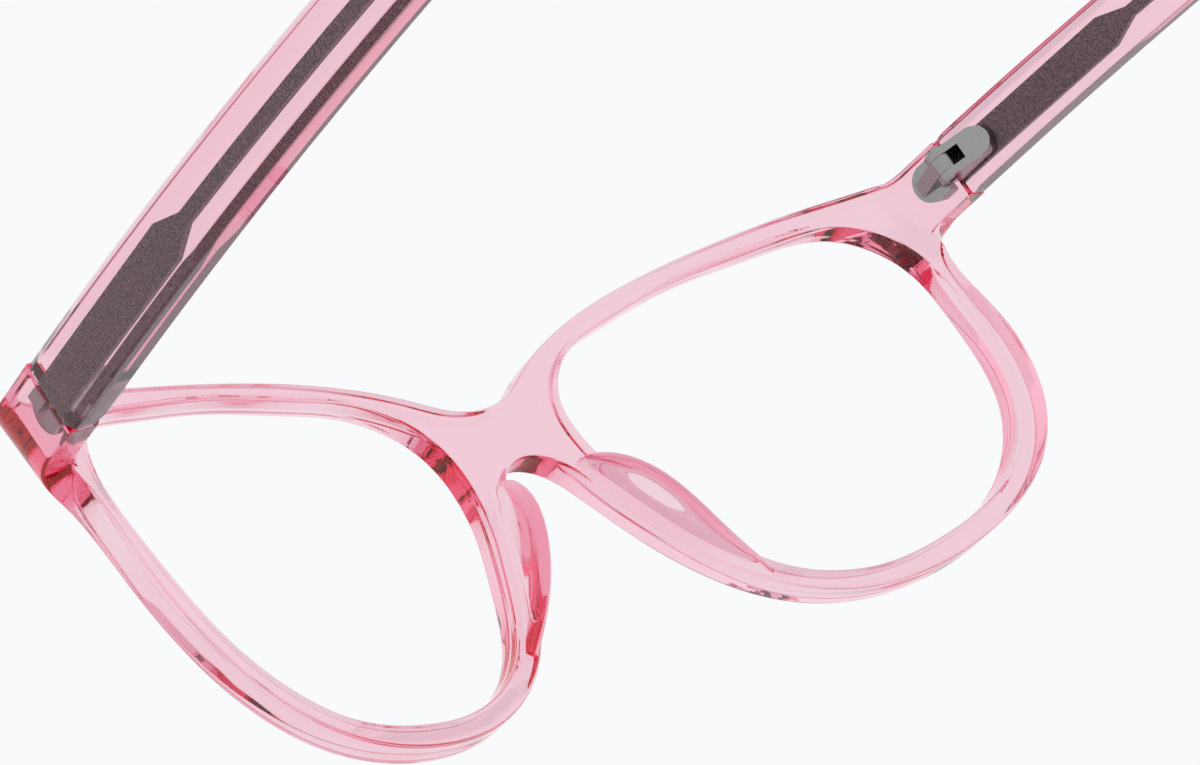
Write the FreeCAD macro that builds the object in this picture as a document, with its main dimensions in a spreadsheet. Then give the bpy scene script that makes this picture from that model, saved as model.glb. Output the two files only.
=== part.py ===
"""Full-rim acetate glasses: one front with two plano lenses, two bonded nose pads,
two cored temples and two three-knuckle screw hinges.

Frame of the part: +Z up, +Y towards the temple tips, +X towards the wearer's left.
The origin is the bottom centre of the glasses' box, on the surface they stand on.
"""
import FreeCAD, Part
import math
import os
import Sketcher
from FreeCAD import Placement, Rotation, Vector

NODES = []

DIMENSIONS = {
    # whole front
    "lens_wide": 51.6,
    "lens_tall": 38.4,
    "lens_gap": 19.0,
    "lens_drop": 3.2,
    "wrap_radius": 173.0,
    "tilt_angle": 5.5,
    "front_thick": 3.0,
    "seat_height": 24.79,
    "setback": 74.62,
    # bridge and endpieces
    "bridge_top": 9.0,
    "bridge_under": 2.4,
    "endpiece_side": 72.0,
    "return_blend": 4.0,
    "return_turn": 52.0,
    "return_straight": 4.8,
    "return_sink": 8.3,
    "corner_round": 4.0,
    "corner_at": 7.7,
    # lenses
    "lens_thick": 2.0,
    "bevel_reach": 0.65,
    "bevel_cut": 0.42,
    "groove_gap": 0.05,
    "lens_ahead": 0.5,
    # nose pads
    "pad_rise": 4.4,
    "pad_thick": 2.8,
    "pad_lean": 0.4,
    "pad_crest": 0.33,
    "pad_foot": 0.5,
    # temples
    "temple_x": 64.3,
    "temple_y": 17.5,
    "temple_z": 12.9,
    "splay_angle": 7.0,
    "temple_thick": 3.6,
    "temple_high": 7.3,
    "waist_high": 6.0,
    "tip_high": 7.6,
    "arch_radius": 800.0,
    "temple_long": 145.0,
    "bend_start": 84.0,
    "bend_radius": 30.0,
    "bend_angle": 29.1,
    "bow_start": 70.0,
    "bow_radius": 560.0,
    "edge_bevel": 0.75,
    "end_gap": 0.1,
    "end_relief": 1.4,
    # cores
    "core_thick": 1.2,
    "paddle_high": 3.8,
    "paddle_long": 23.5,
    "neck_at": 27.0,
    "wire_high": 1.3,
    "core_end": 8.0,
    # hinges
    "axis_inward": 2.0,
    "axis_back": 0.6,
    "barrel_radius": 1.45,
    "leaf_slope": 27.0,
    "centre_wide": 1.7,
    "knuckle_gap": 0.04,
    "hinge_high": 3.5,
    "plate_high": 4.4,
    "plate_rise": 1.3,
    "plate_front": 4.5,
    "plate_back": 0.72,
    "plate_sink": 0.5,
    "leaf_long": 6.4,
    "window_end": 3.4,
    "peg_reach": 1.9,
    "peg_size": 1.7,
    "peg_pitch": 2.4,
    "peg_at": 2.1,
    "screw_radius": 0.55,
    "screw_gap": 0.03,
    "head_radius": 0.95,
    "head_high": 0.45,
    "head_slot": 0.25,
    "screw_recess": 0.25,
}

doc = FreeCAD.newDocument("glasses")
sheet = doc.addObject("Spreadsheet::Sheet", "Dimensions")
for row, (alias, value) in enumerate(DIMENSIONS.items(), start=1):
    sheet.set("A%d" % row, alias)
    sheet.set("B%d" % row, str(value))
    sheet.setAlias("B%d" % row, alias)
doc.recompute()


def dim(alias):
    """Value of one driving dimension."""
    return float(sheet.get(alias))


def in_sheet(text):
    """Expression text with each alias in braces looked up in the sheet."""
    return text.replace("{", "Dimensions.").replace("}", "")


def bind(obj, prop, text):
    """Tie one property of an object to the sheet."""
    obj.setExpression(prop, in_sheet(text))


def feature(name, shape, placement=None):
    """Document object that holds a shape made with Part's own functions."""
    obj = doc.addObject("Part::Feature", name)
    obj.Shape = shape
    if placement is not None:
        obj.Placement = placement
    return obj


def boolean(kind, name, base, tool):
    """Part::Cut, Part::Fuse or Part::Common of two document objects."""
    obj = doc.addObject("Part::" + kind, name)
    obj.Base = base
    obj.Tool = tool
    return obj


def part_node(obj, label):
    """Name a document object as one finished piece of the assembly."""
    obj.Label = label
    NODES.append(obj)
    return obj


def mirrored(source, label):
    """The wearer's-right twin of a wearer's-left piece."""
    twin = doc.addObject("Part::Mirroring", label + "_twin")
    twin.Source = source
    twin.Base = Vector(0, 0, 0)
    twin.Normal = Vector(1, 0, 0)
    return part_node(twin, label)


def pair(source, name):
    """Register a left piece and its right twin."""
    part_node(source, "left_" + name)
    mirrored(source, "right_" + name)


datum = Vector(0, -dim("setback"), dim("seat_height"))
front_place = Placement(datum, Rotation())
arm_in_front = Placement(
    Vector(dim("temple_x"), dim("temple_y"), dim("temple_z")),
    Rotation(Vector(0, 0, 1), -dim("splay_angle")),
)
arm_place = front_place.multiply(arm_in_front)
wrap_axis = Rotation(Vector(1, 0, 0), dim("tilt_angle")).multVec(Vector(0, 0, 1))
wrap_hub = Vector(0, dim("wrap_radius") / math.cos(math.radians(dim("tilt_angle"))), 0)


# ---------------------------------------------------------------- shared helpers

def box(name, x, y, z):
    """Part::Box between two expressions on each axis."""
    block = doc.addObject("Part::Box", name)
    for axis, size, (low, high) in zip("xyz", ("Length", "Width", "Height"), (x, y, z)):
        bind(block, "Placement.Base." + axis, low)
        bind(block, size, "(%s) - (%s)" % (high, low))
    return block


def rod(name, radius, x, y, z):
    """Upright Part::Cylinder at (x, y) between two heights."""
    pin = doc.addObject("Part::Cylinder", name)
    bind(pin, "Radius", radius)
    bind(pin, "Placement.Base.x", x)
    bind(pin, "Placement.Base.y", y)
    bind(pin, "Placement.Base.z", z[0])
    bind(pin, "Height", "(%s) - (%s)" % (z[1], z[0]))
    return pin


def cross_rod(name, radius, x, y):
    """Part::Cylinder along X, between two expressions, at height zero."""
    disc = doc.addObject("Part::Cylinder", name)
    disc.Placement = Placement(Vector(), Rotation(Vector(0, 1, 0), 90))
    bind(disc, "Radius", radius)
    bind(disc, "Placement.Base.x", x[0])
    bind(disc, "Placement.Base.y", y)
    bind(disc, "Height", "(%s) - (%s)" % (x[1], x[0]))
    return disc


def fused(name, pieces):
    """Part::MultiFuse of several objects."""
    union = doc.addObject("Part::MultiFuse", name)
    union.Shapes = pieces
    union.Refine = True
    return union


def extrusion(name, face, direction, ahead, behind):
    """Part::Extrusion of a face, by bound lengths to both sides."""
    run = doc.addObject("Part::Extrusion", name)
    run.Base = face
    run.DirMode = "Custom"
    run.Dir = direction
    bind(run, "LengthFwd", ahead)
    bind(run, "LengthRev", behind)
    run.Solid = True
    return run


def side_profile(name, corners, height):
    """Body padded both ways from a plan polygon whose corners are expressions."""
    body = doc.addObject("PartDesign::Body", name)
    sketch = body.newObject("Sketcher::SketchObject", name + "_sketch")
    plane = [item for item in body.Origin.OriginFeatures if item.Role == "XY_Plane"][0]
    sketch.AttachmentSupport = [(plane, "")]
    sketch.MapMode = "FlatFace"
    spots = [Vector(*[float(sketch.evalExpression(in_sheet(text))) for text in corner]) for corner in corners]
    for start, end in zip(spots, spots[1:] + spots[:1]):
        sketch.addGeometry(Part.LineSegment(start, end))
    for i, corner in enumerate(corners):
        sketch.addConstraint(Sketcher.Constraint("Coincident", i, 2, (i + 1) % len(corners), 1))
        for kind, text, value in zip(("DistanceX", "DistanceY"), corner, spots[i]):
            index = sketch.addConstraint(Sketcher.Constraint(kind, i, 1, value))
            bind(sketch, "Constraints[%d]" % index, text)
    pad = body.newObject("PartDesign::Pad", name + "_pad")
    pad.Profile = sketch
    pad.SideType = "Symmetric"
    bind(pad, "Length", height)
    return body


def closed_face(edges):
    """Flat face inside a closed run of edges."""
    return Part.Face(Part.Wire(Part.__sortEdges__(edges)))


# ---------------------------------------------------------------- outlines of the front

# Corners and crests of the lens opening, as fractions of its half width and half height,
# from the temple side over the top to the nose and back along the bottom.
OPENING = [
    (1.0, 0.17), (0.985, 0.56), (0.82, 0.87), (0.43, 0.985), (-0.05, 0.995), (-0.45, 0.92),
    (-0.8, 0.785), (-0.985, 0.53), (-0.985, 0.1), (-0.83, -0.32), (-0.6, -0.73), (-0.2, -0.975),
    (0.2, -0.985), (0.6, -0.85), (0.9, -0.46),
]

# Upper edge of the front from beside the bridge to the endpiece, and lower edge back again.
BROW = [
    (4.6, 9.9), (8.0, 11.7), (13.6, 14.2), (20.0, 16.1), (31.0, 17.8), (43.0, 18.3), (54.0, 17.8),
    (60.0, 17.1), (64.3, 16.7),
]
JAW = [
    (65.4, 8.6), (64.7, 5.0), (64.3, 0.5), (63.4, -7.4), (60.8, -14.4), (55.6, -19.9), (48.0, -23.3),
    (39.4, -24.7), (31.0, -24.4), (23.6, -22.4), (17.8, -19.1), (13.0, -14.4), (9.2, -8.7),
    (6.0, -2.3), (4.2, 0.5), (2.2, 1.9),
]


def front_view(points):
    """Points of the front view, as vectors of the XZ plane."""
    return [Vector(x, 0, z) for x, z in points]


def lens_centre():
    """Middle of the left lens opening in the front view."""
    return Vector((dim("lens_gap") + dim("lens_wide")) / 2, 0, -dim("lens_drop"))


def opening_face(grow):
    """The left lens opening, grown outwards by a margin."""
    half_wide = dim("lens_wide") / 2 + grow
    half_tall = dim("lens_tall") / 2 + grow
    curve = Part.BSplineCurve()
    points = [lens_centre() + Vector(u * half_wide, 0, v * half_tall) for u, v in OPENING]
    curve.interpolate(points, PeriodicFlag=True)
    return Part.Face(Part.Wire(curve.toShape()))


def across_middle(points, middle_height):
    """Smooth edge through these points, the middle of the front and their mirror images."""
    left = front_view(points)
    right = [Vector(-point.x, 0, point.z) for point in reversed(left)]
    curve = Part.BSplineCurve()
    curve.interpolate(right + [Vector(0, 0, middle_height)] + left)
    return curve.toShape()


def front_face():
    """The whole front in front view: brow, endpiece tabs, rims and bridge."""
    tab_top = dim("temple_z") + dim("temple_high") / 2
    tab_under = dim("temple_z") - dim("temple_high") / 2
    side = dim("endpiece_side")
    brow = BROW + [(dim("temple_x") + dim("temple_thick"), tab_top)]
    jaw = [(dim("temple_x") + dim("temple_thick"), tab_under)] + JAW
    edges = [across_middle(brow, dim("bridge_top")), across_middle(jaw[::-1], dim("bridge_under"))]
    for sign in (1, -1):
        corners = [brow[-1], (side, tab_top), (side, tab_under), jaw[0]]
        edges += Part.makePolygon(front_view([(sign * x, z) for x, z in corners])).Edges
    return closed_face(edges)


def wrap_cylinder(name, radius):
    """Long cylinder round the wrap axis, which leans with the front."""
    wall = doc.addObject("Part::Cylinder", name)
    bind(wall, "Radius", radius)
    bind(wall, "Height", "{lens_wide} * 2")
    lean = Rotation(Vector(1, 0, 0), dim("tilt_angle"))
    wall.Placement = Placement(wrap_hub - wrap_axis * dim("lens_wide"), lean)
    return wall


# ---------------------------------------------------------------- lenses

def lens_solid(name, clearance):
    """Meniscus disc with a bevelled rim; with a clearance it is the tool for its groove."""
    outline = feature(name + "_outline", opening_face(dim("bevel_reach") + clearance))
    blank = extrusion(name + "_blank", outline, Vector(0, 1, 0), "{lens_wide}", "{lens_wide}")
    centre = lens_centre()
    hub = wrap_hub + wrap_axis * (centre - wrap_hub).dot(wrap_axis)
    outward = (centre - hub).normalize()
    hub += outward * (dim("lens_ahead") + (dim("front_thick") - dim("lens_thick")) / 2)
    shell = []
    for side, radius in (("front", "{wrap_radius} + {lens_thick} + %g"), ("back", "{wrap_radius} - %g")):
        ball = doc.addObject("Part::Sphere", "%s_%s" % (name, side))
        bind(ball, "Radius", radius % clearance)
        ball.Placement = Placement(hub, Rotation())
        shell.append(ball)
    disc = boolean("Common", name + "_disc", blank, boolean("Cut", name + "_shell", *shell))
    doc.recompute()
    bevel = doc.addObject("Part::Chamfer", name + "_bevel")
    bevel.Base = disc
    half_span = disc.Shape.BoundBox.DiagonalLength / 2
    rims = [i for i, edge in enumerate(disc.Shape.Edges, start=1) if edge.BoundBox.DiagonalLength > half_span]
    bevel.Edges = [(i, dim("bevel_cut"), dim("bevel_cut")) for i in rims]
    return bevel


lens = lens_solid("lens", 0.0)
groove = lens_solid("groove", dim("groove_gap"))


# ---------------------------------------------------------------- hinge, in the arm's frame

# In the arm's frame the temple's inner face is x = 0, its outer face x = temple_thick, and
# the joint between front and temple is y = 0. The screw's axis is upright.
AXIS_X = "-{axis_inward}"
AXIS_Y = "{axis_back}"
BARREL_RISE = "({barrel_radius} / cos({leaf_slope} * 1 deg))"
SLOPE = "tan({leaf_slope} * 1 deg)"


def slope_top(along):
    """Height of the sloping leaf face over the acetate, this far from the screw's axis."""
    return "(-{axis_inward} - %s + %s * (%s))" % (BARREL_RISE, SLOPE, along)


def bore(name, radius):
    """Upright cutter on the screw's axis, taller than the hinge."""
    return rod(name, radius, AXIS_X, AXIS_Y, ("-{plate_high}", "{plate_high}"))


def front_leaf():
    """Plate on the endpiece with two pegs, a ramp and the centre knuckle."""
    middle = "(-{plate_front} + {plate_high} / 2)"
    x = ("-{plate_rise}", "{plate_sink}")
    high = ("-{plate_high} / 2", "{plate_high} / 2")
    plate_disc = cross_rod("plate_disc", "{plate_high} / 2", x, middle)
    disc_half = box("disc_half", x, ("-{plate_front}", middle), high)
    pieces = [
        box("plate", x, (middle, "-{plate_back}"), high),
        boolean("Common", "plate_end", plate_disc, disc_half),
        rod("centre_knuckle", "{barrel_radius}", AXIS_X, AXIS_Y, ("-{centre_wide} / 2", "{centre_wide} / 2")),
    ]
    foot = "({axis_back} + (-{axis_inward} - %s + {plate_rise}) / %s)" % (BARREL_RISE, SLOPE)
    touch = "(-{axis_inward} - {barrel_radius} * cos({leaf_slope} * 1 deg))"
    touch_y = "({axis_back} - {barrel_radius} * sin({leaf_slope} * 1 deg))"
    ramp = [(x[0], foot), (touch, touch_y), (AXIS_X, AXIS_Y), (x[0], "-{plate_back}")]
    pieces.append(side_profile("ramp", ramp, "{centre_wide}"))
    for name, level in (("upper_peg", "{peg_pitch} / 2"), ("lower_peg", "-{peg_pitch} / 2")):
        y = ("-{peg_at} - {peg_size} / 2", "-{peg_at} + {peg_size} / 2")
        z = ("%s - {peg_size} / 2" % level, "%s + {peg_size} / 2" % level)
        pieces.append(box(name, ("0", "{peg_reach}"), y, z))
    clear = bore("front_bore", "{screw_radius} + {screw_gap}")
    return boolean("Cut", "front_leaf", fused("front_leaf_blank", pieces), clear)


def temple_leaf():
    """Sloping leaf that stands on the core's paddle and forks into the two outer knuckles."""
    rear = "({leaf_long} - {hinge_high} / 2)"
    sink = "({temple_thick} / 2 - {core_thick} / 2)"
    touch = "(-{axis_inward} - {barrel_radius} * cos({leaf_slope} * 1 deg))"
    touch_y = "({axis_back} + {barrel_radius} * sin({leaf_slope} * 1 deg))"
    profile = [
        (sink, "{end_gap}"),
        ("-{axis_inward}", "{end_gap}"),
        (touch, touch_y),
        (slope_top("{leaf_long} - {axis_back}"), "{leaf_long}"),
        (sink, "{leaf_long}"),
    ]
    half = "{hinge_high} / 2"
    solid = fused("leaf_blank", [
        side_profile("leaf_side", profile, "{hinge_high}"),
        rod("leaf_barrel", "{barrel_radius}", AXIS_X, AXIS_Y, ("-" + half, half)),
    ])
    reach = ("-{temple_thick} * 2", "{temple_thick}")
    stadium = fused("leaf_stadium", [
        box("leaf_run", reach, ("-{plate_high}", rear), ("-" + half, half)),
        cross_rod("leaf_end", half, reach, rear),
    ])
    rounded = boolean("Common", "leaf_rounded", solid, stadium)
    fork = ("-{centre_wide} / 2 - {knuckle_gap}", "{centre_wide} / 2 + {knuckle_gap}")
    window = box("leaf_window", reach, ("-{plate_high}", "{window_end}"), fork)
    forked = boolean("Cut", "leaf_forked", rounded, window)
    return boolean("Cut", "temple_leaf", forked, bore("temple_bore", "{screw_radius}"))


def hinge_screw():
    """Slotted screw from the upper knuckle down, its end just inside the lower one."""
    half = "{hinge_high} / 2"
    shank = rod("shank", "{screw_radius}", AXIS_X, AXIS_Y, ("-%s + {screw_recess}" % half, half))
    head = rod("head", "{head_radius}", AXIS_X, AXIS_Y, (half, half + " + {head_high}"))
    across = ("-{axis_inward} - {head_radius}", "-{axis_inward} + {head_radius}")
    wide = ("{axis_back} - {head_slot} / 2", "{axis_back} + {head_slot} / 2")
    slot = box("slot", across, wide, (half + " + {head_high} / 2", half + " + {head_high} * 2"))
    return boolean("Cut", "hinge_screw", fused("screw_blank", [shank, head]), slot)


leaf_on_front = front_leaf()
leaf_on_temple = temple_leaf()
screw = hinge_screw()


# ---------------------------------------------------------------- temples, in the arm's frame

def arch_point(y, offset):
    """Point this far above the temple's centre line, which sags gently from the joint back."""
    return Vector(0, y, offset - y * y / (2 * dim("arch_radius")))


def bend_point(turn, offset):
    """Point of the ear bend after this turn in radians, this far above the centre line."""
    lead = dim("bend_start") / dim("arch_radius")
    start = arch_point(dim("bend_start"), 0)
    radius = dim("bend_radius")
    hub = start - Vector(0, math.sin(lead), math.cos(lead)) * radius
    return hub + Vector(0, math.sin(lead + turn), math.cos(lead + turn)) * (radius + offset)


def bent_side(front_points, half_bend, half_tip, length, tip_reach):
    """Side view of a strip: a long front part, the ear bend and the tip.

    front_points lists (y, half height) up to the bend, length is measured along the centre
    line and tip_reach is how far the rounded end stands past the last full section.
    """
    turn = math.radians(dim("bend_angle"))
    slope = turn + dim("bend_start") / dim("arch_radius")
    along = Vector(0, math.cos(slope), -math.sin(slope))
    up = Vector(0, math.sin(slope), math.cos(slope))
    straight = length - dim("bend_start") - dim("bend_radius") * turn - tip_reach
    tip = bend_point(turn, 0) + along * straight
    edges = []
    for sign in (1, -1):
        run = [arch_point(y, sign * half) for y, half in front_points]
        bend = [bend_point(turn * share, sign * half_bend) for share in (0, 0.5, 1)]
        waist = arch_point((dim("bow_start") + run[-1].y) / 2, sign * half_bend)
        long_edge = Part.BSplineCurve()
        long_edge.interpolate([run[-1], waist, bend[0]])
        if len(run) > 1:
            edges += Part.makePolygon(run).Edges
        edges += [long_edge.toShape(), Part.Arc(*bend).toShape()]
        edges.append(Part.makeLine(bend[2], tip + up * (sign * half_tip)))
    first_y, first_half = front_points[0]
    edges.append(Part.makeLine(arch_point(first_y, first_half), arch_point(first_y, -first_half)))
    edges.append(Part.Arc(tip + up * half_tip, tip + along * tip_reach, tip - up * half_tip).toShape())
    return closed_face(edges)


def bowed_plan(inner, outer, start, relief):
    """Plan view of a strip: straight, then bowed gently inwards to beyond the tip."""
    bow = dim("bow_start")
    far = dim("temple_long")
    edges = []
    ends = []
    for x in (inner, outer):
        radius = dim("bow_radius") + x
        hub = Vector(-dim("bow_radius"), bow, 0)
        sweep = math.asin((far - bow) / radius)
        middle = hub + Vector(math.cos(sweep / 2), math.sin(sweep / 2), 0) * radius
        end = hub + Vector(math.cos(sweep), math.sin(sweep), 0) * radius
        edges.append(Part.Arc(Vector(x, bow, 0), middle, end).toShape())
        ends.append(end)
    edges.append(Part.makeLine(*ends))
    nose = [
        Vector(inner, bow, 0),
        Vector(inner, start + relief, 0),
        Vector(inner + relief / 2, start, 0),
        Vector(outer, start, 0),
        Vector(outer, bow, 0),
    ]
    if relief == 0:
        del nose[2]
    edges += Part.makePolygon(nose).Edges
    return closed_face(edges)


def strip(name, side, plan):
    """Solid that has this side view and this plan view."""
    across = extrusion(name + "_across", feature(name + "_side", side), Vector(1, 0, 0), "60", "60")
    upright = extrusion(name + "_upright", feature(name + "_plan", plan), Vector(0, 0, 1), "60", "60")
    return boolean("Common", name, across, upright)


core_inner = (dim("temple_thick") - dim("core_thick")) / 2
half_paddle = dim("paddle_high") / 2
half_wire = dim("wire_high") / 2
core = strip(
    "core",
    bent_side(
        [(dim("end_gap"), half_paddle), (dim("paddle_long"), half_paddle), (dim("neck_at"), half_wire)],
        half_wire, half_wire, dim("temple_long") - dim("core_end"), half_wire,
    ),
    bowed_plan(core_inner, core_inner + dim("core_thick"), dim("end_gap"), 0),
)
temple_blank = strip(
    "temple_blank",
    bent_side(
        [(dim("end_gap"), dim("temple_high") / 2)],
        dim("waist_high") / 2, dim("tip_high") / 2, dim("temple_long"), dim("tip_high") * 0.45,
    ),
    bowed_plan(0, dim("temple_thick"), dim("end_gap"), dim("end_relief")),
)


def outer_edges(shape, level):
    """Numbers of the long edges of a strip's outer face."""
    numbers = []
    for i, edge in enumerate(shape.Edges, start=1):
        box_of = edge.BoundBox
        if box_of.YLength > dim("tip_high") and abs(box_of.XMax - level) < 0.01:
            numbers.append(i)
    return numbers


# The acetate closes on the core and on the foot of the leaf, so both are cut out of it.
doc.recompute()
temple_bevel = doc.addObject("Part::Chamfer", "temple_bevel")
temple_bevel.Base = temple_blank
temple_bevel.Edges = [
    (i, dim("edge_bevel"), dim("edge_bevel"))
    for i in outer_edges(temple_blank.Shape, dim("temple_thick"))
]
temple = boolean("Cut", "temple", boolean("Cut", "cored", temple_bevel, core), doc.getObject("leaf_rounded"))


# ---------------------------------------------------------------- front

def return_face():
    """Plan view of an endpiece's return, in the arm's frame: it curves into the front's back."""
    blend = dim("return_blend")
    straight = -dim("return_straight")
    sink = -dim("return_sink")
    hub = Vector(-blend, straight, 0)
    leave = math.radians(dim("return_turn"))
    half = Vector(math.cos(leave / 2), -math.sin(leave / 2), 0) * blend
    end = hub + Vector(math.cos(leave), -math.sin(leave), 0) * blend
    start = Vector(0, straight, 0)
    arc = Part.Arc(start, hub + half, end).toShape()
    outer = dim("temple_thick")
    run = [end, Vector(end.x, sink, 0), Vector(outer, sink, 0), Vector(outer, 0, 0), Vector(), start]
    return closed_face([arc] + Part.makePolygon(run).Edges)


def both_sides(name, source):
    """A left tool and its mirror image as one object."""
    twin = doc.addObject("Part::Mirroring", name + "_twin")
    twin.Source = source
    twin.Normal = Vector(1, 0, 0)
    return fused(name, [source, twin])


def arm_run(name, plan, half_height):
    """Plan-view face of the arm's frame run to both sides and put where the left arm starts."""
    run = extrusion(name, feature(name + "_plan", plan), Vector(0, 0, 1), half_height, half_height)
    run.Placement = arm_in_front
    return run


def beyond_face():
    """Plan view of everything outside the endpiece and its rounded corner, in the arm's frame."""
    near = dim("temple_thick")
    far = near + dim("endpiece_side") - dim("temple_x")
    reach = dim("lens_wide")
    swing = math.asin(dim("temple_x") / dim("wrap_radius")) + math.radians(dim("splay_angle"))
    turn = math.pi / 2 - swing
    radius = dim("corner_round")
    start = Vector(near, radius * math.tan(turn / 2) - dim("corner_at"), 0)
    hub = start - Vector(radius, 0, 0)
    middle = hub + Vector(math.cos(turn / 2), -math.sin(turn / 2), 0) * radius
    end = hub + Vector(math.cos(turn), -math.sin(turn), 0) * radius
    away = end - Vector(math.sin(turn), math.cos(turn), 0) * (2 * radius)
    corners = [
        end,
        away,
        Vector(away.x, -reach, 0),
        Vector(far, -reach, 0),
        Vector(far, reach, 0),
        Vector(near, reach, 0),
        start,
    ]
    return closed_face([Part.Arc(start, middle, end).toShape()] + Part.makePolygon(corners).Edges)


def depth_run(name, face):
    """Front-view face run through the whole depth of the front."""
    return extrusion(name, feature(name + "_view", face), Vector(0, 1, 0), "{lens_wide}", "{lens_wide}")


back_wall = wrap_cylinder("back_wall", "{wrap_radius}")
slab = boolean("Cut", "slab", wrap_cylinder("front_wall", "{wrap_radius} + {front_thick}"), back_wall)
plate = boolean("Common", "plate", depth_run("front_run", front_face()), slab)
returns = both_sides("returns", arm_run("return", return_face(), "{temple_high} / 2"))
beyond = both_sides("beyonds", arm_run("beyond", beyond_face(), "{lens_wide}"))
openings = both_sides("openings", depth_run("opening", opening_face(0)))
sided = boolean("Cut", "sided", fused("solid_front", [plate, returns]), beyond)
opened = boolean("Cut", "opened", sided, openings)

# Grooves for the lens bevels, and pockets for the hinge plates and their pegs.
leaf_in_front = doc.addObject("Part::Refine", "leaf_in_front")
leaf_in_front.Source = leaf_on_front
leaf_in_front.Placement = arm_in_front
grooved = boolean("Cut", "grooved", opened, both_sides("grooves", groove))
front = boolean("Cut", "front", grooved, both_sides("pockets", leaf_in_front))


# ---------------------------------------------------------------- nose pads

# Centre line of the left pad along the nose side of the rim, from the bridge downwards.
PAD_ROUTE = [(6.1, 0.2), (7.0, -1.7), (10.2, -8.2), (13.9, -13.7), (18.4, -18.2)]
PAD_STATIONS = 9
PAD_SIDES = 10


def pad_section(curve, share):
    """Leaning oval across the pad, this share of the way along its route."""
    place = curve.FirstParameter + share * (curve.LastParameter - curve.FirstParameter)
    spot = curve.value(place)
    along = curve.tangent(place)[0]
    across = Vector(-along.z, 0, along.x)
    lean_back = math.radians(dim("tilt_angle"))
    depth = math.sqrt(dim("wrap_radius") ** 2 - spot.x ** 2) / math.cos(lean_back)
    back = Vector(0, wrap_hub.y - spot.z * math.tan(lean_back) - depth, 0)
    swell = abs(math.sin(math.pi * share ** (math.log(0.5) / math.log(dim("pad_crest")))))
    half_wide = dim("pad_thick") / 2 * (0.45 + 0.55 * swell)
    rise = dim("pad_rise") * swell + dim("pad_foot")
    points = []
    for i in range(PAD_SIDES):
        turn = 2 * math.pi * i / PAD_SIDES
        up = math.sin(turn)
        lean = dim("pad_lean") * swell * max(up, 0)
        points.append(spot + back + across * (half_wide * math.cos(turn) + lean) + Vector(0, rise * up, 0))
    outline = Part.BSplineCurve()
    outline.interpolate(points, PeriodicFlag=True)
    return Part.Wire(outline.toShape())


def nose_pad():
    """Lofted crescent that stands on the back of the rim beside the nose."""
    route = Part.BSplineCurve()
    route.interpolate(front_view(PAD_ROUTE))
    sections = [pad_section(route, i / (PAD_STATIONS - 1)) for i in range(PAD_STATIONS)]
    loft = Part.makeLoft(sections, True)
    return boolean("Common", "pad", feature("pad_loft", loft), back_wall)


pad = nose_pad()


# ---------------------------------------------------------------- pieces at their places

def placed(name, source, place):
    """The finished shape of one piece, moved as a whole to its place."""
    piece = doc.addObject("Part::Refine", name)
    piece.Source = source
    piece.Placement = place
    return piece


part_node(placed("front_piece", front, front_place), "front_frame")
for name, source, place in (
    ("lens", lens, front_place),
    ("nose_pad", pad, front_place),
    ("front_hinge_leaf", leaf_on_front, arm_place),
    ("temple_hinge_leaf", leaf_on_temple, arm_place),
    ("hinge_screw", screw, arm_place),
    ("core_wire", core, arm_place),
    ("temple", temple, arm_place),
):
    pair(placed(name + "_piece", source, place), name)
doc.recompute()

faults = [item.Name for item in doc.Objects if {"Invalid", "Error"} & set(item.State)]
faults += [node.Label for node in NODES if node.Shape.isNull() or not node.Shape.isValid()]
faults += [node.Label for node in NODES if len(node.Shape.Solids) != 1]
if faults:
    raise RuntimeError("features that did not build: " + ", ".join(faults))

os.makedirs("parts", exist_ok=True)
for node in NODES:
    node.Shape.exportStep("parts/%s.step" % node.Label)
    print("%-26s %9.2f mm3" % (node.Label, node.Shape.Volume))
whole = Part.makeCompound([node.Shape for node in NODES]).BoundBox
print("box", [round(v, 2) for v in (whole.XMin, whole.YMin, whole.ZMin, whole.XMax, whole.YMax, whole.ZMax)])
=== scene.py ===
"""Looks of a pair of transparent pink acetate glasses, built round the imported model.

Shapes are worked out in millimetres about the lens datum and moved to the frame of the
part at the end. +X is the wearer's left, +Y runs back to the ears and +Z is up.
"""
import math

import bmesh
import bpy
import numpy as np
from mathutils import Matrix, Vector
from mathutils.geometry import delaunay_2d_cdt


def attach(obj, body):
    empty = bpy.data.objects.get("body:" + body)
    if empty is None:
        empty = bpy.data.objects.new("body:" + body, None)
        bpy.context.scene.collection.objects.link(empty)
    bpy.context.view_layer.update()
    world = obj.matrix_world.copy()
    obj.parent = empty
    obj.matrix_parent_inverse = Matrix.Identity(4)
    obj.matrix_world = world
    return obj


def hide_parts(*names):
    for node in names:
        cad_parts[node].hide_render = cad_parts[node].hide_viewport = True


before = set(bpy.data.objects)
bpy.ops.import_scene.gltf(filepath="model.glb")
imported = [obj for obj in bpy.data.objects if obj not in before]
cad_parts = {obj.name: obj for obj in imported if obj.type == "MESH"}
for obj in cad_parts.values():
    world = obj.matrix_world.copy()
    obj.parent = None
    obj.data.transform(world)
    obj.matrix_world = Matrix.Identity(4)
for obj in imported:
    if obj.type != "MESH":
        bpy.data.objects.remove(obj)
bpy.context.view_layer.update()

MM = 0.001
DATUM = (0.0, -74.62, 24.79)

# Front: lens openings, wrap and thickness.
LENS_CENTRE = (35.3, -3.2)
LENS_HALF = (25.8, 19.2)
WRAP_RADIUS = 173.0
FRONT_THICK = 3.0
TILT = math.radians(5.5)
HUB_Y = WRAP_RADIUS / math.cos(TILT)
LENS_THICK = 2.0
LENS_AHEAD = 0.5
BRIDGE_TOP = 9.0
BRIDGE_UNDER = 2.4

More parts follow.
